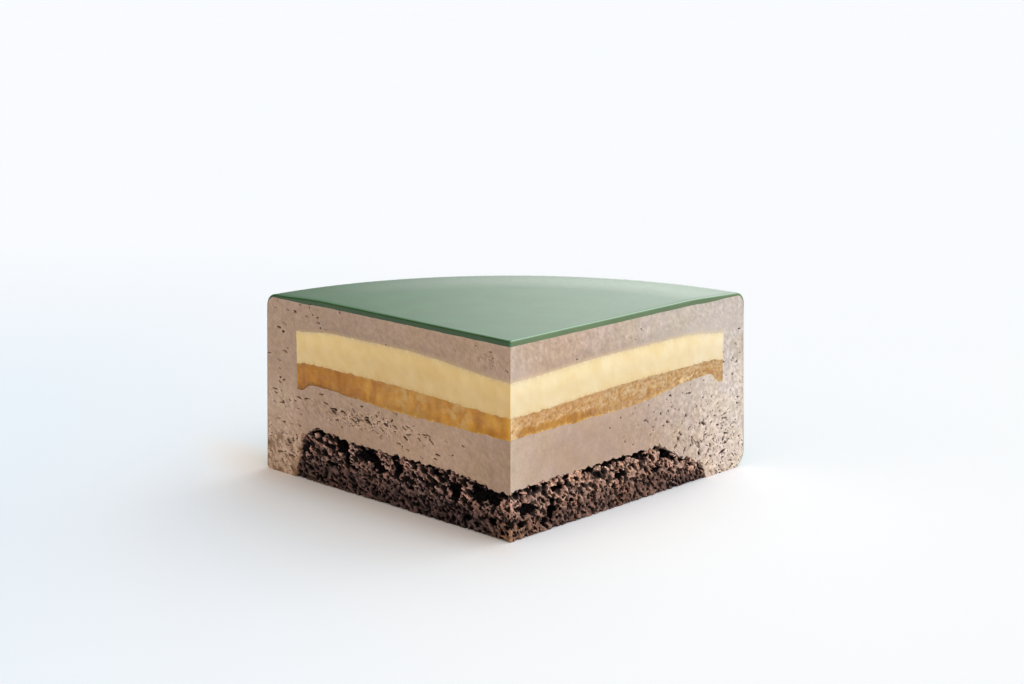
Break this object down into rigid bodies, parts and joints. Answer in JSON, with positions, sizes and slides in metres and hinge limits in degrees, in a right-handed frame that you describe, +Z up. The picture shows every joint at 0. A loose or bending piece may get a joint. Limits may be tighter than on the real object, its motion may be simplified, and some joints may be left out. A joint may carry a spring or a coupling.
{
  "type": "mousse cake",
  "caption": "Quarter of a round mousse cake with green mirror glaze, cut to show yellow cream and orange compote in cocoa mousse on a dark chocolate sponge",
  "frame": {"origin": "middle of the base of the bounding box, on the floor; the cut tip, once the middle of the whole cake, is at -Y", "axes": "+Z up, +Y from the tip to the round wall, +X to the right along the longest side"},
  "size_m": [0.1155, 0.0816, 0.0441],
  "materials": {
    "glaze": "glossy green mirror glaze",
    "mousse": "satin milk chocolate mousse with fine pits",
    "cream": "smooth satin yellow cream",
    "compote": "wet, grainy orange fruit compote",
    "sponge": "dark, open chocolate crumb"
  },
  "bodies": {
    "root": {"glaze": "glaze", "mousse": "mousse", "cream": "cream", "compote": "compote", "sponge": "sponge"}
  },
  "joints": []
}
